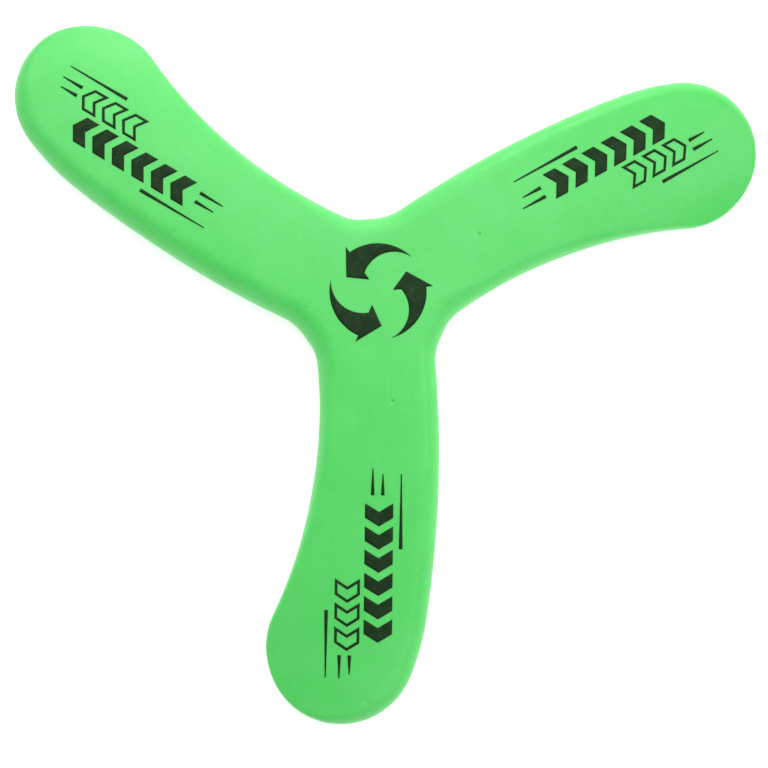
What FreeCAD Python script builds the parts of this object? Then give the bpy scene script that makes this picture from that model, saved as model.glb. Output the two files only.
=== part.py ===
import FreeCAD, Part
import math, os
import Sketcher

# Soft three-bladed boomerang, thrown right-handed (spins anticlockwise seen from above).
# Millimetres, +Z up. The origin is the middle of the hub on the flat underside, blade 1 points
# along +X. Seen along a blade from the hub, the round thick leading edge is on the +Y side and
# the thin trailing edge on the -Y side. A foam core is wrapped in a moulded skin, which is made
# in two halves that meet at the parting line, and thin ink films lie on the upper skin.

os.makedirs("parts", exist_ok=True)
doc = FreeCAD.newDocument("Boomerang")

SIZES = [
    ("BladeCount", 3, "blades, evenly spread"),
    ("BodyHeight", 14.0, "underside to the flat top"),
    ("ValleyRadius", 30.4, "hub centre to the outline midway between two blades"),
    ("ValleyAngle", 50.9, "direction of that point, clockwise from the blade's own axis"),
    ("TrailFlat", 1.6, "half of the straight run between two blades, trailing side"),
    ("TrailCornerRadius", 15.0, "hollow corner from the valley into the trailing edge"),
    ("TrailRadius", 186.0, "hollow sweep of the trailing edge"),
    ("TipRadius", 28.6, "round end of the blade"),
    ("TipCentreX", 134.4, "centre of the round end, along the blade"),
    ("TipCentreY", 2.3, "the same, towards the trailing side"),
    ("ShoulderRadius", 95.0, "between the round end and the leading edge"),
    ("LeadRadius", 420.0, "long bow of the leading edge"),
    ("LeadCentreX", 87.0, "centre of the bow, along the blade"),
    ("LeadFlat", 3.2, "half of the straight run between two blades, leading side"),
    ("LeadCornerRadius", 21.0, "hollow corner from the valley into the leading edge"),
    ("TopRound", 9.5, "rounding all round the top"),
    ("BottomRound", 2.5, "rounding all round the underside"),
    ("SlopeAxisX", 150.0, "axis that the trailing slope is turned about, along the blade"),
    ("SlopeAxisY", 190.0, "the same, beyond the trailing edge"),
    ("SlopeStart", 203.0, "from that axis to where the flat top begins"),
    ("SlopeRadius", 103.0, "camber of the trailing slope"),
    ("SlopeWidth", 50.0, "width that the slope is cut over, past the trailing edge"),
    ("SkinWall", 0.8, "dense skin"),
    ("PartingHeight", 3.2, "underside to the seam between the skin halves"),
    ("InkWall", 0.12, "ink film"),
    ("PrintReach", 12.0, "depth of the cutter that carries a print down the rounded edges"),
    ("PrintProud", 1.0, "how far that cutter stands above the flat top"),
    ("BarCount", 6, "solid chevrons in the print on a blade"),
    ("BarX", 79.0, "inner low corner of the first one, along the blade"),
    ("BarY", 2.6, "the same, towards the leading edge"),
    ("BarTilt", 3.5, "lean of the whole print towards the leading edge"),
    ("BarWidth", 5.4, "each solid chevron, along the row"),
    ("BarNose", 3.2, "how far its point runs ahead"),
    ("BarHeight", 10.6, "across the row"),
    ("BarPitch", 8.6, "spacing in the row"),
    ("HollowCount", 3, "outlined chevrons beside them"),
    ("HollowX", 107.7, "inner low corner of the first one, along the blade"),
    ("HollowY", -6.6, "the same, towards the leading edge"),
    ("HollowWidth", 6.0, "each outlined chevron, along the row"),
    ("HollowNose", 3.0, "how far its point runs ahead"),
    ("HollowHeight", 9.4, "across the row"),
    ("HollowPitch", 8.9, "spacing in the row"),
    ("HollowLine", 1.0, "width of the drawn line"),
    ("StreakBlunt", 1.4, "thick end of a speed line"),
    ("StreakSharp", 0.4, "thin end of a speed line"),
    ("HubPrintX", 2.0, "how far the hub print sits from the middle, towards blade 1"),
    ("ArrowStart", 20.0, "direction of the first hub arrow's tail"),
    ("ArrowSweep", 80.0, "angle its curved shaft runs through"),
    ("ArrowHead", 30.0, "angle its head runs through"),
    ("ArrowOuter", 18.4, "outer radius of the shaft"),
    ("ArrowInner", 8.8, "inner radius of the shaft where the head begins"),
    ("ArrowInnerBow", 12.0, "curve of the shaft's inner side"),
    ("HeadOuter", 21.0, "outer corner of the head"),
    ("HeadMiddle", 13.2, "point of the head"),
    ("HeadInner", 5.6, "inner corner of the head"),
]
# speed lines of the blade print in its own leaning frame: blunt end x, y, and run to the sharp end
STREAKS = [(76.0, 0.6, -10.0), (76.0, 4.4, -8.0), (96.0, 11.3, -28.0),
           (135.5, -11.2, 8.5), (135.5, -7.4, 7.0), (119.0, -16.3, 25.0)]
for number, streak in enumerate(STREAKS, start=1):
    for letter, value, note in zip("XYR", streak, ("blunt end, along", "across", "run to the sharp end")):
        SIZES.append((f"Streak{number}{letter}", value, f"speed line {number}: {note}"))
OFF_AXIS = "0.001"      # keeps a vertex off the sketch axis, where a distance of nothing can't be held

sheet = doc.addObject("Spreadsheet::Sheet", "Sizes")
for row, (alias, value, note) in enumerate(SIZES, start=1):
    sheet.set(f"A{row}", alias)
    sheet.set(f"B{row}", str(value))
    sheet.setAlias(f"B{row}", alias)
    sheet.set(f"C{row}", note)
doc.recompute()

SIZE = {alias: value for alias, value, note in SIZES}
STEP_ANGLE = 360.0 / SIZE["BladeCount"]


def polar(radius, degrees):
    """Point at a radius and a direction."""
    angle = math.radians(degrees)
    return FreeCAD.Vector(radius * math.cos(angle), radius * math.sin(angle), 0)


def at_distances(p, p_far, q, q_far, left):
    """The point p_far from p and q_far from q, to the left of the line p-q or to its right."""
    gap = q - p
    along = (p_far ** 2 - q_far ** 2 + gap.Length ** 2) / (2 * gap.Length)
    off = math.sqrt(p_far ** 2 - along ** 2) * (1 if left else -1)
    unit = gap / gap.Length
    return p + unit * along + FreeCAD.Vector(-unit.y, unit.x, 0) * off


def touch(centre, radius, other):
    """Where a circle meets its tangent neighbour, on the line through both centres.
    A negative radius means the far side of the centre from the neighbour."""
    return centre + (other - centre).normalize() * radius


def arc(centre, start, end, turn_left):
    """Arc from start to end, stored anticlockwise as the sketcher wants it."""
    circle = Part.Circle(centre, FreeCAD.Vector(0, 0, 1), (start - centre).Length)
    first, last = (start, end) if turn_left else (end, start)
    return Part.ArcOfCircle(circle, circle.parameter(first), circle.parameter(last))


def plane_of(body, role):
    return next(f for f in body.Origin.OriginFeatures if f.Role == role)


def signed(inset, name, sense):
    """Expression for a size that grows (+) or shrinks (-) with the inset."""
    return f"Sizes.{name} {sense} ({inset})"


def blade_sketch(body, name, inset):
    """One blade from the hub centre, valley to valley, set in from the outline by the inset."""
    depth = sheet.evalExpression(inset)
    s = SIZE
    trail_dir = -s["ValleyAngle"]
    lead_dir = trail_dir + STEP_ANGLE
    hub = FreeCAD.Vector()
    valley = s["ValleyRadius"] - depth
    v0, v1 = polar(valley, trail_dir), polar(valley, lead_dir)
    p0 = v0 + polar(s["TrailFlat"], trail_dir + 90)
    p7 = v1 - polar(s["LeadFlat"], lead_dir + 90)
    # centres of the six arcs; hollow arcs have theirs outside the blade
    c1 = p0 + polar(s["TrailCornerRadius"] + depth, trail_dir)
    c6 = p7 + polar(s["LeadCornerRadius"] + depth, lead_dir)
    c3 = FreeCAD.Vector(s["TipCentreX"], -s["TipCentreY"], 0)
    c2 = at_distances(c1, s["TrailRadius"] - s["TrailCornerRadius"],
                      c3, s["TrailRadius"] + s["TipRadius"], False)
    reach = s["LeadRadius"] + s["LeadCornerRadius"]
    across = s["LeadCentreX"] - c6.x
    c5 = FreeCAD.Vector(s["LeadCentreX"], c6.y - math.sqrt(reach ** 2 - across ** 2), 0)
    c4 = at_distances(c3, s["ShoulderRadius"] - s["TipRadius"],
                      c5, s["LeadRadius"] - s["ShoulderRadius"], False)
    p1 = touch(c2, s["TrailRadius"] + depth, c1)
    p2 = touch(c2, s["TrailRadius"] + depth, c3)
    p3 = c4 + (c3 - c4).normalize() * (s["ShoulderRadius"] - depth)
    p4 = c5 + (c4 - c5).normalize() * (s["LeadRadius"] - depth)
    p5 = touch(c5, s["LeadRadius"] - depth, c6)

    sk = body.newObject("Sketcher::SketchObject", name)
    sk.AttachmentSupport = [(plane_of(body, "XY_Plane"), "")]
    sk.MapMode = "FlatFace"
    sk.AttachmentOffset = FreeCAD.Placement(FreeCAD.Vector(0, 0, depth), FreeCAD.Rotation())
    sk.setExpression("AttachmentOffset.Base.z", inset)
    # (geometry, drawn start-to-end along the outline) -> vertex numbers of its start and end
    chain = [
        (Part.LineSegment(hub, v0), True),
        (Part.LineSegment(v0, p0), True),
        (arc(c1, p0, p1, False), False),
        (arc(c2, p1, p2, False), False),
        (arc(c3, p2, p3, True), True),
        (arc(c4, p3, p4, True), True),
        (arc(c5, p4, p5, True), True),
        (arc(c6, p5, p7, False), False),
        (Part.LineSegment(p7, v1), True),
        (Part.LineSegment(v1, hub), True),
    ]
    ids = [sk.addGeometry(geometry, False) for geometry, forward in chain]
    ends = [(1, 2) if forward else (2, 1) for geometry, forward in chain]
    HUB_IN, FLAT_IN, FLAT_OUT, HUB_OUT = ids[0], ids[1], ids[8], ids[9]
    sk.addConstraint(Sketcher.Constraint("Coincident", HUB_IN, 1, -1, 1))
    sk.addConstraint(Sketcher.Constraint("Coincident", HUB_OUT, 2, -1, 1))
    for i in range(len(ids) - 1):
        kind = "Tangent" if 1 <= i <= 7 else "Coincident"
        sk.addConstraint(Sketcher.Constraint(kind, ids[i], ends[i][1], ids[i + 1], ends[i + 1][0]))
    sk.addConstraint(Sketcher.Constraint("Perpendicular", HUB_IN, FLAT_IN))
    sk.addConstraint(Sketcher.Constraint("Perpendicular", HUB_OUT, FLAT_OUT))

    def size(label, kind, args, value, expression):
        number = sk.addConstraint(Sketcher.Constraint(kind, *args, value))
        sk.renameConstraint(number, label)
        sk.setExpression(f"Constraints.{label}", expression)

    size("valley_in", "Distance", (HUB_IN,), valley, signed(inset, "ValleyRadius", "-"))
    size("valley_out", "Distance", (HUB_OUT,), valley, signed(inset, "ValleyRadius", "-"))
    size("valley_drop", "DistanceY", (HUB_IN, 1, HUB_IN, 2), v0.y,
         f"-(Sizes.ValleyRadius - ({inset})) * sin(Sizes.ValleyAngle * 1 deg)")
    size("valley_rise", "DistanceY", (HUB_OUT, 2, HUB_OUT, 1), v1.y,
         f"(Sizes.ValleyRadius - ({inset})) * sin((360 / Sizes.BladeCount - Sizes.ValleyAngle) * 1 deg)")
    size("flat_in", "Distance", (FLAT_IN,), s["TrailFlat"], "Sizes.TrailFlat")
    size("flat_out", "Distance", (FLAT_OUT,), s["LeadFlat"], "Sizes.LeadFlat")
    for i, alias, sense, sign in ((2, "TrailCornerRadius", "+", 1), (3, "TrailRadius", "+", 1),
                                  (4, "TipRadius", "-", -1), (5, "ShoulderRadius", "-", -1),
                                  (6, "LeadRadius", "-", -1), (7, "LeadCornerRadius", "+", 1)):
        size("r" + alias, "Radius", (ids[i],), s[alias] + sign * depth, signed(inset, alias, sense))
    size("tip_x", "DistanceX", (-1, 1, ids[4], 3), s["TipCentreX"], "Sizes.TipCentreX")
    size("tip_y", "DistanceY", (-1, 1, ids[4], 3), -s["TipCentreY"], "-Sizes.TipCentreY")
    size("lead_x", "DistanceX", (-1, 1, ids[6], 3), s["LeadCentreX"], "Sizes.LeadCentreX")
    return sk


def slope_sketch(body, name, inset):
    """Half section of what is turned away to leave the cambered trailing slope."""
    depth = sheet.evalExpression(inset)
    s = SIZE
    sk = body.newObject("Sketcher::SketchObject", name)
    sk.AttachmentSupport = [(plane_of(body, "XZ_Plane"), "")]
    sk.MapMode = "FlatFace"
    sk.AttachmentOffset = FreeCAD.Placement(
        FreeCAD.Vector(s["SlopeAxisX"], 0, s["SlopeAxisY"]), FreeCAD.Rotation())
    sk.setExpression("AttachmentOffset.Base.x", "Sizes.SlopeAxisX")
    sk.setExpression("AttachmentOffset.Base.z", "Sizes.SlopeAxisY")
    radius = s["SlopeRadius"] - depth
    centre = FreeCAD.Vector(s["SlopeStart"], s["BodyHeight"] - s["SlopeRadius"], 0)
    crest = centre + FreeCAD.Vector(0, radius, 0)
    foot = centre + FreeCAD.Vector(-s["SlopeWidth"], math.sqrt(radius ** 2 - s["SlopeWidth"] ** 2), 0)
    lid = 2 * s["BodyHeight"]
    corner_out, corner_in = FreeCAD.Vector(crest.x, lid, 0), FreeCAD.Vector(foot.x, lid, 0)
    camber = sk.addGeometry(arc(centre, crest, foot, True), False)
    rise = sk.addGeometry(Part.LineSegment(foot, corner_in), False)
    top = sk.addGeometry(Part.LineSegment(corner_in, corner_out), False)
    fall = sk.addGeometry(Part.LineSegment(corner_out, crest), False)
    for a, a_end, b, b_end in ((camber, 2, rise, 1), (rise, 2, top, 1), (top, 2, fall, 1),
                               (fall, 2, camber, 1)):
        sk.addConstraint(Sketcher.Constraint("Coincident", a, a_end, b, b_end))
    sk.addConstraint(Sketcher.Constraint("Vertical", rise))
    sk.addConstraint(Sketcher.Constraint("Horizontal", top))
    sk.addConstraint(Sketcher.Constraint("Vertical", fall))
    for label, kind, args, value, expression in (
            ("camber", "Radius", (camber,), radius, signed(inset, "SlopeRadius", "-")),
            ("start", "DistanceX", (-1, 1, camber, 3), centre.x, "Sizes.SlopeStart"),
            ("level", "DistanceY", (-1, 1, camber, 3), centre.y,
             "Sizes.BodyHeight - Sizes.SlopeRadius"),
            ("crest", "DistanceX", (-1, 1, camber, 1), crest.x, "Sizes.SlopeStart"),
            ("width", "DistanceX", (-1, 1, camber, 2), foot.x, "Sizes.SlopeStart - Sizes.SlopeWidth"),
            ("lid", "DistanceY", (-1, 1, top, 1), lid, "2 * Sizes.BodyHeight")):
        number = sk.addConstraint(Sketcher.Constraint(kind, *args, value))
        sk.renameConstraint(number, label)
        sk.setExpression(f"Constraints.{label}", expression)
    return sk


def rim(shape, level):
    """Names of the edges that run round the body at one level."""
    return [f"Edge{n}" for n, edge in enumerate(shape.Edges, start=1)
            if abs(edge.BoundBox.ZMin - level) < 1e-4 and abs(edge.BoundBox.ZMax - level) < 1e-4]


def around(body, name, feature):
    """Repeat the feature for every blade about the hub."""
    pattern = body.newObject("PartDesign::PolarPattern", name)
    pattern.Originals = [feature]
    pattern.Axis = (plane_of(body, "Z_Axis"), [""])
    pattern.Angle = 360
    pattern.Occurrences = SIZE["BladeCount"]
    pattern.setExpression("Occurrences", "Sizes.BladeCount")
    body.Tip = pattern
    doc.recompute()
    return pattern


def blank(name, inset):
    """Whole three-bladed body, every surface set in by the inset."""
    body = doc.addObject("PartDesign::Body", name)
    depth = sheet.evalExpression(inset)
    outline = blade_sketch(body, name + "_outline", inset)
    pad = body.newObject("PartDesign::Pad", name + "_pad")
    pad.Profile = outline
    pad.Length = SIZE["BodyHeight"] - 2 * depth
    pad.setExpression("Length", f"Sizes.BodyHeight - 2 * ({inset})")
    around(body, name + "_blades", pad)
    for label, size_name, level in (("top", "TopRound", SIZE["BodyHeight"] - depth),
                                    ("bottom", "BottomRound", depth)):
        sharp = body.Tip
        fillet = body.newObject("PartDesign::Fillet", f"{name}_{label}_round")
        fillet.Base = (sharp, rim(sharp.Shape, level))
        fillet.Radius = SIZE[size_name] - depth
        fillet.setExpression("Radius", signed(inset, size_name, "-"))
        body.Tip = fillet
        doc.recompute()
    before = body.Shape.Volume
    slope = slope_sketch(body, name + "_slope", inset)
    groove = body.newObject("PartDesign::Groove", name + "_groove")
    groove.Profile = slope
    groove.ReferenceAxis = (slope, ["V_Axis"])
    groove.Angle = 360
    body.Tip = groove
    doc.recompute()
    one = before - body.Shape.Volume
    around(body, name + "_slopes", groove)
    assert one > 1000 and before - body.Shape.Volume > 2.9 * one, "a trailing slope is missing"
    return body


def outline_loop(sk, corners):
    """Closed run of straight edges through corners whose coordinates are expressions."""
    points = [FreeCAD.Vector(sheet.evalExpression(x), sheet.evalExpression(y), 0) for x, y in corners]
    edges = [sk.addGeometry(Part.LineSegment(a, b), False)
             for a, b in zip(points, points[1:] + points[:1])]
    for n, edge in enumerate(edges):
        sk.addConstraint(Sketcher.Constraint("Coincident", edge, 2, edges[(n + 1) % len(edges)], 1))
        pin(sk, edge, 1, corners[n], points[n])


def pin(sk, edge, end, corner, point):
    """Tie one vertex to the sketch origin by its two expressions."""
    for kind, expression, value in (("DistanceX", corner[0], point.x), ("DistanceY", corner[1], point.y)):
        number = sk.addConstraint(Sketcher.Constraint(kind, -1, 1, edge, end, value))
        sk.setExpression(f"Constraints[{number}]", expression)


def print_body(name):
    body = doc.addObject("PartDesign::Body", name)
    body.AllowCompound = True
    return body


def print_sketch(body, name, x="0", y="0", tilt="0"):
    """Sketch above the body, shifted and turned to where the motif lies."""
    sk = body.newObject("Sketcher::SketchObject", name)
    sk.AttachmentSupport = [(plane_of(body, "XY_Plane"), "")]
    sk.MapMode = "FlatFace"
    for path, expression in (("Base.x", x), ("Base.y", y), ("Rotation.Angle", tilt),
                             ("Base.z", "Sizes.BodyHeight + Sizes.PrintProud - Sizes.PrintReach")):
        sk.setExpression("AttachmentOffset." + path, expression)
    return sk


def raise_motif(body, sk, name):
    pad = body.newObject("PartDesign::Pad", name)
    pad.Profile = sk
    pad.Length = SIZE["PrintReach"]
    pad.setExpression("Length", "Sizes.PrintReach")
    body.Tip = pad
    doc.recompute()
    return pad


def repeat_along(body, sk, pad, name, count, pitch):
    row = body.newObject("PartDesign::LinearPattern", name)
    row.Originals = [pad]
    row.Direction = (sk, ["H_Axis"])
    row.Mode = "Spacing"
    row.setExpression("Offset", pitch)
    row.setExpression("Occurrences", count)
    body.Tip = row
    doc.recompute()


def chevron(width, nose, height, line=None):
    """Corners of a chevron pointing outwards, or of its hollow when a line width is given."""
    if line is None:
        low, high, side, lean = OFF_AXIS, height, "0", "0"
    else:
        low, high = line, f"({height} - {line})"
        side = f"({line} * sqrt(1 + (2 * {nose} / {height}) ^ 2))"
        lean = f"({nose} * {line} * 2 / {height})"
    left, right = f"({side} + {OFF_AXIS})", f"({width} - {side})"
    return [(f"{left} + {lean}", low), (f"{right} + {lean}", low), (f"{right} + {nose}", f"{height} / 2"),
            (f"{right} + {lean}", high), (f"{left} + {lean}", high), (f"{left} + {nose}", f"{height} / 2")]


def blade_cutter(name, index):
    """Upright prisms in the outline of one blade's print."""
    body = print_body(name)
    bars = print_sketch(body, name + "_bars", "Sizes.BarX", "Sizes.BarY", "Sizes.BarTilt")
    outline_loop(bars, chevron("Sizes.BarWidth", "Sizes.BarNose", "Sizes.BarHeight"))
    pad = raise_motif(body, bars, name + "_bar")
    repeat_along(body, bars, pad, name + "_bar_row", "Sizes.BarCount", "Sizes.BarPitch")
    rings = print_sketch(body, name + "_rings", "Sizes.HollowX", "Sizes.HollowY", "Sizes.BarTilt")
    outline_loop(rings, chevron("Sizes.HollowWidth", "Sizes.HollowNose", "Sizes.HollowHeight"))
    outline_loop(rings, chevron("Sizes.HollowWidth", "Sizes.HollowNose", "Sizes.HollowHeight",
                                "Sizes.HollowLine"))
    pad = raise_motif(body, rings, name + "_ring")
    repeat_along(body, rings, pad, name + "_ring_row", "Sizes.HollowCount", "Sizes.HollowPitch")
    streaks = print_sketch(body, name + "_streaks", tilt="Sizes.BarTilt")
    blunt, sharp = "Sizes.StreakBlunt / 2", "Sizes.StreakSharp / 2"
    for number in range(1, len(STREAKS) + 1):
        x, y, run = (f"Sizes.Streak{number}{letter}" for letter in "XYR")
        end = f"{x} + {run}"
        outline_loop(streaks, [(x, f"{y} - {blunt}"), (end, f"{y} - {sharp}"),
                               (end, f"{y} + {sharp}"), (x, f"{y} + {blunt}")])
    raise_motif(body, streaks, name + "_streak")
    body.Placement = FreeCAD.Placement(
        FreeCAD.Vector(), FreeCAD.Rotation(FreeCAD.Vector(0, 0, 1), index * STEP_ANGLE))
    body.setExpression("Placement.Rotation.Angle", f"{index} * 360 / Sizes.BladeCount * 1 deg")
    doc.recompute()
    return body


def hub_cutter(name):
    """Upright prisms in the outline of the hub's print: arrows that chase round the spin."""
    body = print_body(name)
    sk = print_sketch(body, name + "_arrow")

    def at(radius, angle):
        return (f"{radius} * cos({angle} * 1 deg)", f"{radius} * sin({angle} * 1 deg)")

    tail, neck = "Sizes.ArrowStart", "(Sizes.ArrowStart + Sizes.ArrowSweep)"
    nose = "(Sizes.ArrowStart + Sizes.ArrowSweep + Sizes.ArrowHead)"
    corners = [at("Sizes.ArrowOuter", tail), at("Sizes.ArrowOuter", neck),
               at("Sizes.HeadOuter", neck), at("Sizes.HeadMiddle", nose),
               at("Sizes.HeadInner", neck), at("Sizes.ArrowInner", neck)]
    points = [FreeCAD.Vector(sheet.evalExpression(x), sheet.evalExpression(y), 0) for x, y in corners]
    outer_arc = arc(FreeCAD.Vector(), points[0], points[1], True)
    chord = points[0] - points[5]
    bow = SIZE["ArrowInnerBow"]
    middle = (points[0] + points[5]) * 0.5
    rise = math.sqrt(bow ** 2 - (chord.Length / 2) ** 2)
    side = FreeCAD.Vector(-chord.y, chord.x, 0).normalize()
    centre = min((middle + side * rise, middle - side * rise), key=lambda p: p.Length)
    inner_arc = arc(centre, points[0], points[5], True)
    edges = [sk.addGeometry(outer_arc, False)]
    edges += [sk.addGeometry(Part.LineSegment(points[n], points[n + 1]), False) for n in range(1, 5)]
    edges += [sk.addGeometry(inner_arc, False)]
    for n in range(5):
        sk.addConstraint(Sketcher.Constraint("Coincident", edges[n], 2, edges[n + 1], 2 if n == 4 else 1))
    sk.addConstraint(Sketcher.Constraint("Coincident", edges[5], 1, edges[0], 1))
    sk.addConstraint(Sketcher.Constraint("Coincident", edges[0], 3, -1, 1))
    for n in (0, 2, 3, 4):
        pin(sk, edges[n], 1, corners[n], points[n])
    number = sk.addConstraint(Sketcher.Constraint("DistanceX", -1, 1, edges[0], 2, points[1].x))
    sk.setExpression(f"Constraints[{number}]", corners[1][0])
    pin(sk, edges[5], 2, corners[5], points[5])
    number = sk.addConstraint(Sketcher.Constraint("Radius", edges[5], bow))
    sk.setExpression(f"Constraints[{number}]", "Sizes.ArrowInnerBow")
    around(body, name + "_arrows", raise_motif(body, sk, name + "_one"))
    body.setExpression("Placement.Base.x", "Sizes.HubPrintX")
    return body


outer = blank("outer", "0")
core = blank("foam_core", "Sizes.SkinWall")
inked = blank("inked", "-Sizes.InkWall")


def cut(name, base, tool):
    feature = doc.addObject("Part::Cut", name)
    feature.Base, feature.Tool = base, tool
    return feature


def common(name, base, tool):
    feature = doc.addObject("Part::Common", name)
    feature.Base, feature.Tool = base, tool
    return feature


skin = cut("skin", outer, core)
ink_layer = cut("ink_layer", inked, outer)
halves = {}
for name, low, high in (("lower_skin", "-Sizes.BodyHeight", "Sizes.PartingHeight"),
                        ("upper_skin", "Sizes.PartingHeight", "2 * Sizes.BodyHeight")):
    block = doc.addObject("Part::Cylinder", name + "_zone")
    block.setExpression("Radius", "2 * (Sizes.TipCentreX + Sizes.TipRadius)")
    block.setExpression("Height", f"{high} - ({low})")
    block.setExpression("Placement.Base.z", low)
    halves[name] = common(name, skin, block)
doc.recompute()

nodes = {"foam_core": core, **halves, "hub_print": common("hub_print", hub_cutter("hub_cutter"), ink_layer)}
for number in range(1, SIZE["BladeCount"] + 1):
    name = f"blade_{number}_print"
    nodes[name] = common(name, blade_cutter(f"blade_{number}_cutter", number - 1), ink_layer)
doc.recompute()

for thing in doc.Objects:
    assert not {"Invalid", "Error"} & set(thing.State), f"{thing.Name} is {thing.State}"
for name, node in nodes.items():
    node.Label = name
    assert not node.Shape.isNull() and node.Shape.isValid() and node.Shape.Volume > 0, name
    node.Shape.exportStep(f"parts/{name}.step")
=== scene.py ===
import math

import bmesh
import bpy
import numpy as np
from mathutils import Matrix, Vector
from mathutils.geometry import delaunay_2d_cdt


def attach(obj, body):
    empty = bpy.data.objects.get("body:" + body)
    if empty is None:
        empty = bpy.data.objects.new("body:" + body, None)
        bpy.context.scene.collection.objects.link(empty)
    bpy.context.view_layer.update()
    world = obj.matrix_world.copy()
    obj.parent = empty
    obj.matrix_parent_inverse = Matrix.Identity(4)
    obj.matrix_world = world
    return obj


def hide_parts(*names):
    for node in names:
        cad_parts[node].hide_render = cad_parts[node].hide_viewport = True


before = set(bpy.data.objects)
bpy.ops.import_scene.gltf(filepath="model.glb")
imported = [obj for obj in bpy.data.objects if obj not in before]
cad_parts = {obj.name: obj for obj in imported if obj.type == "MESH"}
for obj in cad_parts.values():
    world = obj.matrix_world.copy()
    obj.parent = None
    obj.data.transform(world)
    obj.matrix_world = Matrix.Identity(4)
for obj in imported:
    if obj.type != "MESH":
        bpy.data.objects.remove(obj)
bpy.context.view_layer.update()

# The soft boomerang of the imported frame, with its moulded surfaces and prints drawn finely.
# Shapes are worked out in millimetres, plan points are complex numbers (x + iy), and every
# mesh is stored in metres in the row frame: blade 1 along +X, its leading edge towards +Y.

ROOT = "root"
MM = 0.001
BLADES = 3

# ---- sizes shared with the CAD solids, mm ----
HEIGHT = 14.0
VALLEY_RADIUS, VALLEY_ANGLE = 30.4, 50.9
TRAIL_FLAT, TRAIL_CORNER, TRAIL_BOW = 1.6, 15.0, 186.0
TIP_RADIUS, TIP_CENTRE = 28.6, 134.4 - 2.3j
SHOULDER_BOW = 95.0
LEAD_BOW, LEAD_CENTRE_X = 420.0, 87.0
LEAD_FLAT, LEAD_CORNER = 3.2, 21.0
TOP_ROUND, BOTTOM_ROUND = 9.5, 2.5
SLOPE_AXIS, SLOPE_START, SLOPE_BOW = 150.0 - 190.0j, 203.0, 103.0
SKIN, PARTING, INK = 0.8, 3.2, 0.12
INK_BED = 0.06                             # how far the back of a film is sunk into the skin
BAR_ROW = dict(at=79.0 + 2.6j, count=6, pitch=8.6, width=5.4, nose=3.2, height=10.6)
HOLLOW_ROW = dict(at=107.7 - 6.6j, count=3, pitch=8.9, width=6.0, nose=3.0, height=9.4)
HOLLOW_LINE = 1.0
PRINT_TILT = 3.5
STREAKS = [(76.0, 0.6, -10.0), (76.0, 4.4, -8.0), (96.0, 11.3, -28.0),
           (135.5, -11.2, 8.5), (135.5, -7.4, 7.0), (119.0, -16.3, 25.0)]
STREAK_BLUNT, STREAK_SHARP = 1.4, 0.4
HUB_PRINT_X = 2.0
ARROW_START, ARROW_SWEEP, ARROW_HEAD = 20.0, 80.0, 30.0
ARROW_OUTER, ARROW_INNER, ARROW_BOW = 18.4, 8.8, 12.0
HEAD_OUTER, HEAD_MIDDLE, HEAD_INNER = 21.0, 13.2, 5.6


def polar(radius, degrees):
    """Plan point at a radius and a direction."""
    return radius * np.exp(1j * math.radians(degrees))


def unit(z):
    """The same direction with a length of one."""
    return z / abs(z)


# ---------------------------------------------------------------- plan outline
class Run:
    """One stretch of the outline, straight or an arc, going anticlockwise round the body."""

    def __init__(self, start, end, centre=None, hollow=False):
        self.start, self.end, self.centre, self.hollow = start, end, centre, hollow
        if centre is not None:
            self.radius = abs(start - centre)
            turn = np.angle((end - centre) / (start - centre))
            self.sweep = -(-turn % (2 * math.pi)) if hollow else turn % (2 * math.pi)

    def length(self):
        return abs(self.end - self.start) if self.centre is None else self.radius * abs(self.sweep)

    def turned(self, turn):
        """The same run on another blade."""
        centre = None if self.centre is None else self.centre * turn
        return Run(self.start * turn, self.end * turn, centre, self.hollow)

    def points(self, spacing):
        """Points from the start up to but not including the end, and their outward normals."""
        count = max(2, round(self.length() / spacing))
        t = np.arange(count) / count
        if self.centre is None:
            way = self.end - self.start
            return self.start + way * t, np.full(count, -1j * unit(way))
        spokes = (self.start - self.centre) * np.exp(1j * self.sweep * t)
        return self.centre + spokes, spokes / self.radius * (-1 if self.hollow else 1)

    def distance(self, p):
        """How far each plan point is from the run."""
        if self.centre is None:
            way = self.end - self.start
            t = np.clip(((p - self.start) * np.conj(way)).real / abs(way) ** 2, 0, 1)
            return abs(p - self.start - t * way)
        spoke = p - self.centre
        angle = np.angle(spoke / (self.start - self.centre))
        angle = (-angle if self.hollow else angle) % (2 * math.pi)
        ends = np.minimum(abs(p - self.start), abs(p - self.end))
        return np.where(angle <= abs(self.sweep), abs(abs(spoke) - self.radius), ends)


def meeting(p, p_far, q, q_far):
    """The point p_far from p and q_far from q, on the right of the way from p to q."""
    gap = abs(q - p)
    along = (p_far ** 2 - q_far ** 2 + gap ** 2) / (2 * gap)
    return p + unit(q - p) * (along - 1j * math.sqrt(p_far ** 2 - along ** 2))


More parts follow.
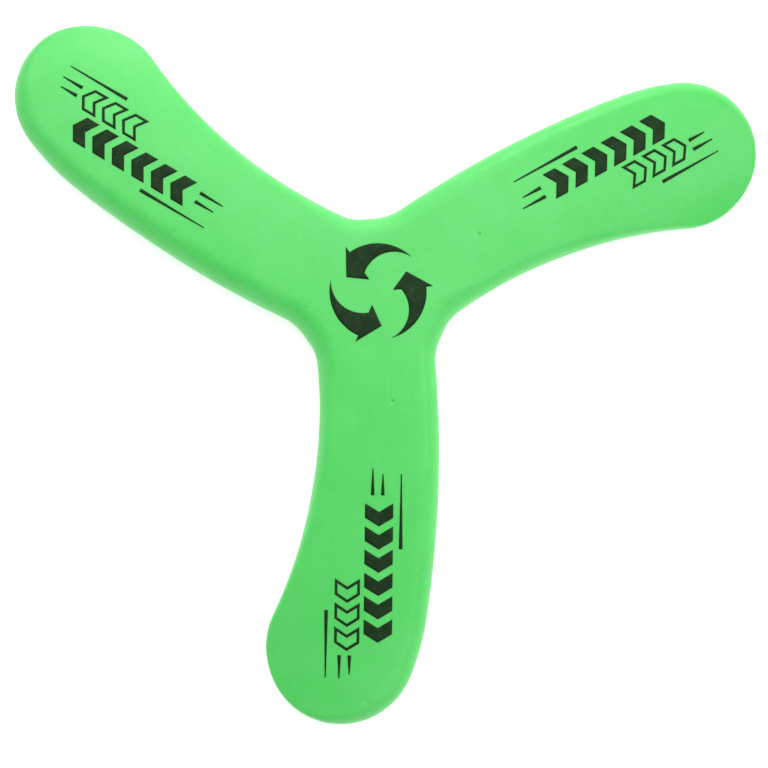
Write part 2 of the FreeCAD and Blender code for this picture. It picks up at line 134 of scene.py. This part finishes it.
def blade_runs():
    """The outline of blade 1, from the valley before it to the valley after it."""
    into, out = -VALLEY_ANGLE, 360 / BLADES - VALLEY_ANGLE
    v0, v1 = polar(VALLEY_RADIUS, into), polar(VALLEY_RADIUS, out)
    p0 = v0 + polar(TRAIL_FLAT, into + 90)
    p6 = v1 - polar(LEAD_FLAT, out + 90)
    c1 = p0 + polar(TRAIL_CORNER, into)
    c6 = p6 + polar(LEAD_CORNER, out)
    c3 = TIP_CENTRE
    c2 = meeting(c1, TRAIL_BOW - TRAIL_CORNER, c3, TRAIL_BOW + TIP_RADIUS)
    reach = LEAD_BOW + LEAD_CORNER
    c5 = complex(LEAD_CENTRE_X, c6.imag - math.sqrt(reach ** 2 - (LEAD_CENTRE_X - c6.real) ** 2))
    c4 = meeting(c3, SHOULDER_BOW - TIP_RADIUS, c5, LEAD_BOW - SHOULDER_BOW)
    p1 = c2 + unit(c1 - c2) * TRAIL_BOW
    p2 = c2 + unit(c3 - c2) * TRAIL_BOW
    p3 = c4 + unit(c3 - c4) * SHOULDER_BOW
    p4 = c5 + unit(c4 - c5) * LEAD_BOW
    p5 = c5 + unit(c6 - c5) * LEAD_BOW
    return [Run(v0, p0), Run(p0, p1, c1, True), Run(p1, p2, c2, True), Run(p2, p3, c3),
            Run(p3, p4, c4), Run(p4, p5, c5), Run(p5, p6, c6, True), Run(p6, v1)]


TURNS = [polar(1, 360 / BLADES * k) for k in range(BLADES)]
RUNS = [run.turned(turn) for turn in TURNS for run in blade_runs()]


def outline(spacing):
    """Points all round the outline and their outward normals."""
    sampled = [run.points(spacing) for run in RUNS]
    return np.concatenate([s[0] for s in sampled]), np.concatenate([s[1] for s in sampled])


def depth(p):
    """How far in from the outline a point of the plan is."""
    return np.min([run.distance(p) for run in RUNS], axis=0)


def inside(p, loop):
    """Whether each point is within a closed loop."""
    odd = np.zeros(len(p), bool)
    for a, b in zip(loop, np.roll(loop, -1)):
        spans = (a.imag > p.imag) != (b.imag > p.imag)
        if spans.any():
            cross = a.real + (p.imag - a.imag) / ((b.imag - a.imag) or 1) * (b.real - a.real)
            odd ^= spans & (p.real < cross)
    return odd


# ---------------------------------------------------------------- surface heights
ROUND_REACH, ROUND_POWER = 8.8, 2.2        # the top's rounding is a little fuller than an arc
BLEND_POWER = 6                            # how closely rounding and trailing slope melt together
SLOPE_FROM = (5, 30)                       # along a blade, where its trailing slope fades in
SLOPE_STEEPEST = 0.9                       # share of the slope's radius at which it stops steepening
ROOT_CAMBER, ROOT_CREST = 0.0021, 14.0     # gentle extra camber nearer the hub, and where it starts
ROOT_FROM, ROOT_TO = (20, 50), (70, 125)   # along a blade, where that camber fades in and out
RIM_LOW, RIM_EASE = 3.8, 0.8               # the top stays clear of the parting line
CALM_RIM = 8                               # the waves fade in over this depth from the outline
SINK, SINK_FROM, UNDER_WAVE = 0.03, (3, 12), 0.3    # the underside's hollow, and its share of the waves
WAVE_COUNT, WAVE_HEIGHT = 14, 0.018
WAVE_RATE = (0.12, 0.42)                   # radians per mm
# small voids in the moulded surface: place, radius and depth
PITS = [(46.5 + 3.1j, 0.5, 0.6), (-11.3 - 39.9j, 0.5, 0.65), (-58.0 + 53.8j, 0.55, 0.65),
        (-40.6 - 116.4j, 0.5, 0.45), (-68.8 - 135.7j, 0.6, 0.35)]
PIT_RINGS, PIT_SPOKES = (0.2, 0.4, 0.65, 1.0), 9    # radii of the mesh rings round a void
PIT_CLEAR = 1.3                            # how far the even mesh keeps off a void

rng = np.random.default_rng(7)
WAVES = [(rng.uniform(*WAVE_RATE), rng.uniform(0, 2 * math.pi), rng.uniform(0, 2 * math.pi))
         for _ in range(WAVE_COUNT)]


def ease(x, low, high):
    """0 up to low, 1 from high on, and a smooth step between."""
    t = np.clip((x - low) / (high - low), 0, 1)
    return t * t * (3 - 2 * t)


def ripple(p):
    """Slow unevenness of the moulded surface."""
    return WAVE_HEIGHT * sum(np.sin(rate * (p * np.exp(1j * way)).real + phase)
                             for rate, way, phase in WAVES)


def pit(p):
    """Depth of the small voids in the moulded surface."""
    return sum(deep * np.exp(-abs(p - at) ** 2 / size ** 2) for at, size, deep in PITS)


def top_height(p, d):
    """Height of the top over a plan point that is d in from the outline."""
    outward = np.clip(1 - d / ROUND_REACH, 0, 1)
    round_drop = TOP_ROUND * (1 - (1 - outward ** ROUND_POWER) ** (1 / ROUND_POWER))
    slope_drop = np.zeros(len(p))
    for turn in TURNS:
        q = p / turn
        s = np.clip(SLOPE_START - abs(q - SLOPE_AXIS), 0, SLOPE_STEEPEST * SLOPE_BOW)
        slope = ease(q.real, *SLOPE_FROM) * (SLOPE_BOW - np.sqrt(SLOPE_BOW ** 2 - s ** 2))
        share = ease(q.real, *ROOT_FROM) * (1 - ease(q.real, *ROOT_TO))
        camber = share * ROOT_CAMBER * np.clip(ROOT_CREST - q.imag, 0, None) ** 2
        slope_drop = np.maximum(slope_drop, slope + camber)
    drop = (round_drop ** BLEND_POWER + slope_drop ** BLEND_POWER) ** (1 / BLEND_POWER)
    above = HEIGHT - drop - RIM_LOW
    above = (above + np.sqrt(above ** 2 + RIM_EASE ** 2)) / 2
    return RIM_LOW + above + ripple(p) * ease(d, 0, CALM_RIM) - pit(p)


def under_height(p, d):
    """The underside is flat with a trace of sink in the middle."""
    return (SINK + UNDER_WAVE * ripple(p)) * ease(d, *SINK_FROM)


# ---------------------------------------------------------------- mesh building
def add_mesh(name, points, faces, material):
    """A mesh object in the row frame from (x, y, z) in mm."""
    mesh = bpy.data.meshes.new(name)
    mesh.from_pydata((np.asarray(points) * MM).tolist(), [], faces)
    mesh.update()
    mesh.polygons.foreach_set("use_smooth", np.ones(len(mesh.polygons), bool))
    obj = bpy.data.objects.new(name, mesh)
    bpy.context.scene.collection.objects.link(obj)
    mesh.materials.append(material)
    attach(obj, ROOT)
    return obj


OUTLINE_STEP = 2.0                         # close enough to tell the inside from the outside


def lattice(spacing, margin):
    """Even triangular spread of points at least the margin in from the outline."""
    reach = TIP_CENTRE.real + TIP_RADIUS
    rows = np.arange(-reach, reach, spacing * math.sqrt(3) / 2)
    columns = np.arange(-reach, reach, spacing)
    p = np.concatenate([columns + (spacing / 2 if n % 2 else 0) + 1j * y for n, y in enumerate(rows)])
    p = p[inside(p, outline(OUTLINE_STEP)[0])]
    return p[depth(p) > margin]


def pitted(p):
    """The same points, with close rings of points round each small void instead."""
    spokes = np.exp(2j * math.pi * np.arange(PIT_SPOKES) / PIT_SPOKES)
    rings = [at + r * spokes for at, _, _ in PITS for r in PIT_RINGS]
    centres = np.array([at for at, _, _ in PITS])
    return np.concatenate([p[abs(p[:, None] - centres).min(axis=1) > PIT_CLEAR], centres] + rings)


INNER_FACES, SAME = 1, 1e-6                # fill only inside the ring; points this near are one


def fill(ring, extra):
    """Triangles that fill the ring and meet at every extra point."""
    co = [Vector((z.real, z.imag)) for z in np.concatenate([ring, extra])]
    count = len(ring)
    edges = [(n, (n + 1) % count) for n in range(count)]
    verts, _, faces, sources, _, _ = delaunay_2d_cdt(co, edges, [list(range(count))], INNER_FACES, SAME)
    assert len(verts) == len(co), "the fill added points"
    index = [source[0] for source in sources]
    return [[index[v] for v in face] for face in faces]


def strips(rings, count, flip):
    """Quads between successive rings that hold count points each."""
    n = np.arange(count)
    m = (n + 1) % count
    faces = []
    for r in range(rings - 1):
        a, b = r * count, (r + 1) * count
        quad = np.stack([a + n, a + m, b + m, b + n], axis=1)
        faces += (quad[:, ::-1] if flip else quad).tolist()
    return faces


def half(spacing, rim, rings_in, extra, height, under):
    """Points and faces of one half of the surface: rim rings as (outward shift, height), then rings
    at a depth with a height function, then a middle filled over the extra points."""
    at, normal = outline(spacing)
    points = []
    for shift, z in rim:
        plan = at + normal * shift
        points.append(np.column_stack([plan.real, plan.imag, np.broadcast_to(z, len(plan))]))
    for d in rings_in:
        plan = at - normal * d
        points.append(np.column_stack([plan.real, plan.imag, height(plan, np.full(len(plan), d))]))
    ring = at - normal * rings_in[-1]
    points.append(np.column_stack([extra.real, extra.imag, height(extra, depth(extra))]))
    rings = len(rim) + len(rings_in)
    faces = strips(rings, len(at), under)
    base = (rings - 1) * len(at)
    faces += [[base + v for v in (face[::-1] if under else face)] for face in fill(ring, extra)]
    return np.concatenate(points), faces


# ---------------------------------------------------------------- materials
def node(tree, kind, **values):
    """A shader node with its sockets, or else its own settings, set to the values."""
    n = tree.nodes.new(kind)
    for key, value in values.items():
        if key in n.inputs:
            n.inputs[key].default_value = value
        else:
            setattr(n, key, value)
    return n


def noise(tree, scale, detail=3.0, rough=0.5, offset=(0, 0, 0)):
    """Noise over the object's own coordinates; scale is features per metre."""
    where = node(tree, "ShaderNodeTexCoord")
    shift = node(tree, "ShaderNodeMapping")
    shift.inputs["Location"].default_value = offset
    tree.links.new(where.outputs["Object"], shift.inputs["Vector"])
    n = node(tree, "ShaderNodeTexNoise", Scale=scale, Detail=detail, Roughness=rough)
    tree.links.new(shift.outputs["Vector"], n.inputs["Vector"])
    return n.outputs["Fac"]


def cells(tree, scale):
    """Distance from the middle of the nearest of many scattered cells; scale is cells per metre."""
    where = node(tree, "ShaderNodeTexCoord")
    n = node(tree, "ShaderNodeTexVoronoi", Scale=scale)
    tree.links.new(where.outputs["Object"], n.inputs["Vector"])
    return n.outputs["Distance"]


def spread(tree, value, low, high, to_low, to_high):
    """The value eased from one range to another."""
    n = node(tree, "ShaderNodeMapRange", interpolation_type="SMOOTHSTEP")
    for key, v in (("From Min", low), ("From Max", high), ("To Min", to_low), ("To Max", to_high)):
        n.inputs[key].default_value = v
    tree.links.new(value, n.inputs["Value"])
    return n.outputs["Result"]


def mix_colour(tree, factor, a, b):
    """A blend from colour a to colour b as the factor goes from 0 to 1."""
    n = node(tree, "ShaderNodeMix", data_type="RGBA")
    tree.links.new(factor, n.inputs["Factor"])
    for socket, colour in ((n.inputs[6], a), (n.inputs[7], b)):
        if isinstance(colour, tuple):
            socket.default_value = (*colour, 1)
        else:
            tree.links.new(colour, socket)
    return n.outputs[2]


def bump(tree, height, distance, strength, under=None):
    """Fine relief of the given depth in metres, on top of any other relief under it."""
    n = node(tree, "ShaderNodeBump", Strength=strength, Distance=distance)
    tree.links.new(height, n.inputs["Height"])
    if under is not None:
        tree.links.new(under, n.inputs["Normal"])
    return n.outputs["Normal"]


def material(name, **values):
    """A new material with the named sockets of its shader set."""
    m = bpy.data.materials.new(name)
    m.use_nodes = True
    shader = m.node_tree.nodes["Principled BSDF"]
    for key, value in values.items():
        shader.inputs[key.replace("_", " ")].default_value = value
    return m, m.node_tree, shader


GREEN = (0.106, 0.715, 0.146)
GREEN_DEEP, GREEN_PALE = (0.092, 0.688, 0.128), (0.145, 0.762, 0.185)
SPECK_SHARE = 0.25                         # how far the pale specks lighten the skin
INK_BLACK, INK_WORN = (0.008, 0.030, 0.007), (0.015, 0.045, 0.014)


def skin_material():
    """Satin self-skinned foam: even green with faint cloudiness, orange peel and a fine grain."""
    m, tree, shader = material("moulded_skin", Specular_IOR_Level=0.4,
                               Subsurface_Weight=0.15, Subsurface_Scale=0.002)
    shader.inputs["Subsurface Radius"].default_value = (0.5, 1.0, 0.5)
    cloud = spread(tree, noise(tree, scale=45, detail=4, rough=0.55), 0.35, 0.65, 0, 1)
    speck = spread(tree, noise(tree, scale=700, detail=2, offset=(3, 1, 0)), 0.30, 0.72, 0, 1)
    base = mix_colour(tree, cloud, GREEN_DEEP, GREEN)
    tint = node(tree, "ShaderNodeMath", operation="MULTIPLY")
    tree.links.new(speck, tint.inputs[0])
    tint.inputs[1].default_value = SPECK_SHARE
    tree.links.new(mix_colour(tree, tint.outputs[0], base, GREEN_PALE), shader.inputs["Base Color"])
    sheen = noise(tree, scale=120, detail=5, rough=0.6, offset=(0, 7, 0))
    tree.links.new(spread(tree, sheen, 0.3, 0.7, 0.33, 0.45), shader.inputs["Roughness"])
    peel = bump(tree, noise(tree, scale=520, detail=2), distance=0.00004, strength=0.55)
    grain = bump(tree, noise(tree, scale=2600, rough=0.6), distance=0.00001, strength=0.5, under=peel)
    pin = spread(tree, cells(tree, scale=150), 0.035, 0.075, 0, 1)
    tree.links.new(bump(tree, pin, distance=0.00012, strength=0.8, under=grain), shader.inputs["Normal"])
    return m


def foam_material():
    """Open cells of the core, seen only if the skin is taken off."""
    m, tree, shader = material("foam_cells", Roughness=0.85, Subsurface_Weight=0.2, Subsurface_Scale=0.002)
    wall = spread(tree, cells(tree, scale=1500), 0.1, 0.6, 0, 1)
    tree.links.new(mix_colour(tree, wall, GREEN_PALE, GREEN_DEEP), shader.inputs["Base Color"])
    tree.links.new(bump(tree, wall, distance=0.0002, strength=0.7), shader.inputs["Normal"])
    return m


def ink_material():
    """Pad-printed ink: near black with a green cast, a little patchy, with pinholes where the foam shows."""
    m, tree, shader = material("printed_ink", Specular_IOR_Level=0.12)
    patch = spread(tree, noise(tree, scale=260, detail=4, rough=0.6, offset=(5, 0, 2)), 0.35, 0.7, 0, 1)
    body = mix_colour(tree, patch, INK_BLACK, INK_WORN)
    hole = spread(tree, noise(tree, scale=1500, detail=2, offset=(1, 4, 0)), 0.22, 0.27, 1, 0)
    tree.links.new(mix_colour(tree, hole, body, GREEN_DEEP), shader.inputs["Base Color"])
    tree.links.new(spread(tree, noise(tree, scale=400), 0.3, 0.7, 0.46, 0.62), shader.inputs["Roughness"])
    grit = noise(tree, scale=1800, rough=0.6)
    tree.links.new(bump(tree, grit, distance=0.00002, strength=0.5), shader.inputs["Normal"])
    return m


skin_look, foam_look, ink_look = skin_material(), foam_material(), ink_material()

# ---------------------------------------------------------------- skins
# the thin line of flash where the mould halves met: reach, half height, edge, and its foot's shape
FLASH_OUT, FLASH_HALF, FLASH_EDGE = 0.16, 0.4, 0.05
FOOT_OUT, FOOT_UP = 0.35, 0.4
FLASH_MEAN, FLASH_SWAY = 0.6, 0.4          # how much of the reach is steady, and how much varies
FLASH_WAVES = (0.11, 3)                    # radians per mm of radius, and per radian of direction
FLASH_ROOM = 0.8                           # height above the seam that a full line of flash needs
SKIN_STEP, CORE_STEP = 0.8, 2.0
SKIN_FILL, UNDER_FILL = 1.0, 2.5           # spacing of the points inside the rims
CORE_GAP = 0.03
TOP_RINGS, UNDER_RINGS = 20, 9             # rings that draw each rounding
FLAT_RINGS = [3.5, 5.0, 7.5]               # rings on the flat underside, in from the outline
TOP_MARGIN, UNDER_MARGIN = ROUND_REACH + 0.6, 9.0
QUARTER = math.pi / 2


def flash_line(at, flash_out):
    """How far the flash stands out at each point of the outline, a little unevenly."""
    phase = FLASH_WAVES[0] * abs(at) + FLASH_WAVES[1] * np.angle(at)
    return flash_out * (FLASH_MEAN + FLASH_SWAY * np.sin(phase))


def upper_half(spacing, extra, flash_out):
    """Everything above the seam: half the flash, the rounding and the cambered top."""
    at = outline(spacing)[0]
    flash = flash_line(at, flash_out)
    room = np.minimum(1, (top_height(at, np.zeros(len(at))) - PARTING) / FLASH_ROOM)
    rim = [(flash, PARTING), (flash, PARTING + FLASH_EDGE),
           (FOOT_OUT * flash, PARTING + FOOT_UP * FLASH_HALF * room),
           (0, PARTING + FLASH_HALF * room)]
    rings = ROUND_REACH * (1 - np.cos(np.linspace(0, QUARTER, TOP_RINGS)) ** (2 / ROUND_POWER))
    return half(spacing, rim, list(rings), extra, top_height, False)


def lower_half(spacing, extra, flash_out):
    """Everything below the seam: half the flash, the rounding and the flat underside."""
    flash = flash_line(outline(spacing)[0], flash_out)
    rim = [(flash, PARTING), (flash, PARTING - FLASH_EDGE),
           (FOOT_OUT * flash, PARTING - FOOT_UP * FLASH_HALF)]
    rim += [(-BOTTOM_ROUND * (1 - math.cos(a)), BOTTOM_ROUND * (1 - math.sin(a)))
            for a in np.linspace(0, QUARTER, UNDER_RINGS)]
    return half(spacing, rim, FLAT_RINGS, extra, under_height, True)


for name, (points, faces) in (
        ("upper_skin", upper_half(SKIN_STEP, pitted(lattice(SKIN_FILL, TOP_MARGIN)), FLASH_OUT)),
        ("lower_skin", lower_half(SKIN_STEP, lattice(UNDER_FILL, UNDER_MARGIN), FLASH_OUT))):
    skin = add_mesh(name + "_visual", points, faces, skin_look)
    wall = skin.modifiers.new("wall", "SOLIDIFY")
    wall.thickness, wall.offset = SKIN * MM, -1
    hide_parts(name)


def foam_core():
    """The cellular foam fills the skins: the same surface, set in by the skin."""
    up, up_faces = upper_half(CORE_STEP, lattice(UNDER_FILL, TOP_MARGIN), 0)
    low, low_faces = lower_half(CORE_STEP, lattice(UNDER_FILL, UNDER_MARGIN), 0)
    faces = up_faces + [[len(up) + v for v in face] for face in low_faces]
    core = add_mesh("foam_core_visual", np.concatenate([up, low]), faces, foam_look)
    bm = bmesh.new()
    bm.from_mesh(core.data)
    bmesh.ops.remove_doubles(bm, verts=bm.verts, dist=SAME)
    bm.normal_update()
    inset = (SKIN + CORE_GAP) * MM
    shifted = [v.co - v.normal * inset for v in bm.verts]
    for v, co in zip(bm.verts, shifted):
        v.co = co
    bm.to_mesh(core.data)
    bm.free()
    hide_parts("foam_core")


foam_core()


# ---------------------------------------------------------------- prints
BAR_STEP, STREAK_STEP, SPOT_STEP = 0.7, 0.8, 1.1    # spacing of points along the edges and inside
RING_STEPS = 8                             # points along each side of an outlined chevron
SHAFT_STEPS, INNER_STEPS = 37, 29          # points along the two sides of an arrow's shaft


def patch_fill(loop, extra=()):
    """Flat patch inside one closed loop of plan points."""
    extra = np.array(extra, complex)
    return np.concatenate([loop, extra]), fill(loop, extra), [np.arange(len(loop))]


def patch_ring(outer, inner):
    """Flat patch between two loops with the same number of points."""
    n = len(outer)
    faces = strips(2, n, False)
    return np.concatenate([outer, inner]), faces, [np.arange(n), np.arange(2 * n - 1, n - 1, -1)]


def film(patches, name, replaced, turn=1, shift=0):
    """Closed ink film over patches of the plan: its top, its back and the edge between them."""
    points, faces, start = [], [], 0
    for plan, triangles, loops in patches:
        plan = plan * turn + shift
        z = top_height(plan, depth(plan))
        for lift in (INK, -INK_BED):
            points.append(np.column_stack([plan.real, plan.imag, z + lift]))
        back = len(plan)
        for face in triangles:
            faces.append([start + v for v in face])
            faces.append([start + back + v for v in reversed(face)])
        for loop in loops:
            for a, b in zip(loop, np.roll(loop, -1)):
                faces.append([start + int(v) for v in (b, a, a + back, b + back)])
        start += 2 * back
    obj = add_mesh(name, np.concatenate(points), faces, ink_look)
    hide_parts(replaced)


def along(corners, step):
    """Closed loop through the corners with points about every step."""
    sides = [a + (b - a) * np.arange(n) / n for a, b in zip(corners, np.roll(corners, -1))
             for n in [max(2, round(abs(b - a) / step))]]
    return np.concatenate(sides)


def chevron(width, nose, height, line=0):
    """Corners of a chevron that points outwards, or of its hollow if a line width is given."""
    side, rise = line * math.hypot(1, 2 * nose / height), nose * line * 2 / height
    left, right = side, width - side
    return np.array([left + rise + 1j * line, right + rise + 1j * line, right + nose + 0.5j * height,
                     right + rise + 1j * (height - line), left + rise + 1j * (height - line),
                     left + nose + 0.5j * height])


def spots(loop):
    """Even points inside a loop, to let a patch follow the surface."""
    x = np.arange(loop.real.min(), loop.real.max(), SPOT_STEP)
    y = np.arange(loop.imag.min(), loop.imag.max(), SPOT_STEP)
    p = (x + 1j * y[:, None]).ravel()
    p = p[inside(p, loop)]
    return p[[min(abs(loop - z)) > SPOT_STEP / 2 for z in p]]


def blade_patches():
    """The print of blade 1: solid chevrons, outlined chevrons and tapering lines."""
    tilt = polar(1, PRINT_TILT)
    patches = []
    for n in range(BAR_ROW["count"]):
        loop = along(chevron(BAR_ROW["width"], BAR_ROW["nose"], BAR_ROW["height"]), BAR_STEP)
        loop = BAR_ROW["at"] + (loop + n * BAR_ROW["pitch"]) * tilt
        patches.append(patch_fill(loop, spots(loop)))
    row = HOLLOW_ROW
    for n in range(row["count"]):
        both = []
        for line in (0, HOLLOW_LINE):
            corners = chevron(row["width"], row["nose"], row["height"], line)
            t = np.arange(RING_STEPS) / RING_STEPS
            loop = np.concatenate([a + (b - a) * t for a, b in zip(corners, np.roll(corners, -1))])
            both.append(row["at"] + (loop + n * row["pitch"]) * tilt)
        patches.append(patch_ring(*both))
    for x, y, run in STREAKS:
        ends = [(x, STREAK_BLUNT), (x + run, STREAK_SHARP)]
        low = [complex(at, y - wide / 2) for at, wide in ends]
        high = [complex(at, y + wide / 2) for at, wide in reversed(ends)]
        corners = low + high if run > 0 else (low + high)[::-1]
        patches.append(patch_fill(along(np.array(corners) * tilt, STREAK_STEP)))
    return patches


def arrow_patch():
    """One hub arrow: a curved shaft that widens from its tail, and a head."""
    neck_at, nose_at = ARROW_START + ARROW_SWEEP, ARROW_START + ARROW_SWEEP + ARROW_HEAD
    tail, neck = polar(ARROW_OUTER, ARROW_START), polar(ARROW_INNER, neck_at)
    half_chord = abs(neck - tail) / 2
    offset = 1j * unit(neck - tail) * math.sqrt(ARROW_BOW ** 2 - half_chord ** 2)
    centre = min(((tail + neck) / 2 + offset, (tail + neck) / 2 - offset), key=abs)
    outer = ARROW_OUTER * np.exp(1j * np.radians(np.linspace(ARROW_START, neck_at, SHAFT_STEPS)))
    turn = np.angle((neck - centre) / (tail - centre))
    inner = centre + (tail - centre) * np.exp(1j * turn * np.linspace(1, 0, INNER_STEPS)[:-1])
    head_end = polar(HEAD_INNER, neck_at)
    head = along(np.array([polar(HEAD_OUTER, neck_at), polar(HEAD_MIDDLE, nose_at), head_end]), BAR_STEP)
    last = np.argmin(abs(head - head_end))
    loop = np.concatenate([outer, head[:last + 1], inner])
    return patch_fill(loop, spots(loop))


def moved(patch, turn):
    """The same patch turned about the hub."""
    return patch[0] * turn, patch[1], patch[2]


one_blade = blade_patches()
for n, turn in enumerate(TURNS, start=1):
    film(one_blade, f"blade_{n}_print_visual", f"blade_{n}_print", turn)
arrow = arrow_patch()
film([moved(arrow, turn) for turn in TURNS], "hub_print_visual", "hub_print", shift=HUB_PRINT_X)

# ---------------------------------------------------------------- floor, light and camera
WHITE = (1, 1, 1, 1)
FLOOR_GREY, FLOOR_GLOW = (0.75, 0.75, 0.75, 1), 0.6       # a light table, lit from below
FLAT, SWEEP, WALL = 3.0, 1.0, 1.7          # metres: flat radius, radius of the sweep, wall height
FLOOR_SPOKES, SWEEP_RINGS = 96, 13
FLOOR_DROP = 0.3                           # mm below the underside
LENS, SENSOR = 46.9, 36.0
EYE = (-6.1, -54.2, 390.7)                 # in the picture's own axes
TILT_X, TILT_Y = 3.03, -1.54
PHOTO_TURN = -25.88                        # the picture's right-hand direction against +X, from above
SKY = 0.11
# soft lamps: azimuth in the picture's own axes, elevation, distance and size in metres, power
LAMPS = {"back": (90, 25, 0.9, 0.4, 2.0), "back_high": (110, 50, 0.8, 0.5, 1.25),
         "top": (70, 70, 0.8, 0.5, 1.6), "right": (8, 50, 0.8, 0.4, 1.30),
         "left": (150, 50, 0.8, 0.5, 0.75), "front": (300, 50, 0.8, 0.5, 1.1)}

floor_mat = material("floor", Roughness=0.9, Base_Color=FLOOR_GREY, Specular_IOR_Level=0.1,
                     Emission_Color=WHITE, Emission_Strength=FLOOR_GLOW)[0]
floor_mesh = bpy.data.meshes.new("floor")
spokes = np.exp(2j * math.pi * np.arange(FLOOR_SPOKES) / FLOOR_SPOKES)
rings = [(FLAT + SWEEP * math.sin(a), SWEEP * (1 - math.cos(a)))
         for a in np.linspace(0, QUARTER, SWEEP_RINGS)]
rings.append((FLAT + SWEEP, WALL))
corners = [(r * w.real, r * w.imag, z) for r, z in rings for w in spokes]
disc = list(range(FLOOR_SPOKES))
floor_mesh.from_pydata(corners, [], [disc] + strips(len(rings), FLOOR_SPOKES, True))
floor_mesh.polygons.foreach_set("use_smooth", np.ones(len(floor_mesh.polygons), bool))
floor = bpy.data.objects.new("floor", floor_mesh)
floor.location.z = -FLOOR_DROP * MM
floor_mesh.materials.append(floor_mat)
bpy.context.scene.collection.objects.link(floor)


def area_light(name, azimuth, elevation, distance, size, power):
    """Soft round lamp aimed at the hub."""
    lamp = bpy.data.lights.new(name, "AREA")
    lamp.shape, lamp.size, lamp.energy = "DISK", size, power
    obj = bpy.data.objects.new(name, lamp)
    way = polar(1, azimuth + PHOTO_TURN) * math.cos(math.radians(elevation))
    back = Vector((way.real, way.imag, math.sin(math.radians(elevation))))
    obj.location = back * distance
    obj.rotation_mode = "QUATERNION"
    obj.rotation_quaternion = back.to_track_quat("Z", "Y")
    bpy.context.scene.collection.objects.link(obj)


for name, setting in LAMPS.items():
    area_light(name, *setting)

world = bpy.data.worlds.new("studio")
world.use_nodes = True
sky = world.node_tree.nodes["Background"]
sky.inputs["Color"].default_value = WHITE
sky.inputs["Strength"].default_value = SKY
bpy.context.scene.world = world
bpy.context.scene.view_settings.view_transform = "Standard"

camera = bpy.data.cameras.new("camera")
camera.lens, camera.sensor_width = LENS, SENSOR
camera.clip_start, camera.clip_end = 0.01, 20
eye = bpy.data.objects.new("camera", camera)
eye.matrix_world = (Matrix.Rotation(math.radians(PHOTO_TURN), 4, "Z")
                    @ Matrix.Translation(Vector(EYE) * MM)
                    @ Matrix.Rotation(math.radians(TILT_Y), 4, "Y")
                    @ Matrix.Rotation(math.radians(TILT_X), 4, "X"))
bpy.context.scene.collection.objects.link(eye)
bpy.context.scene.camera = eye
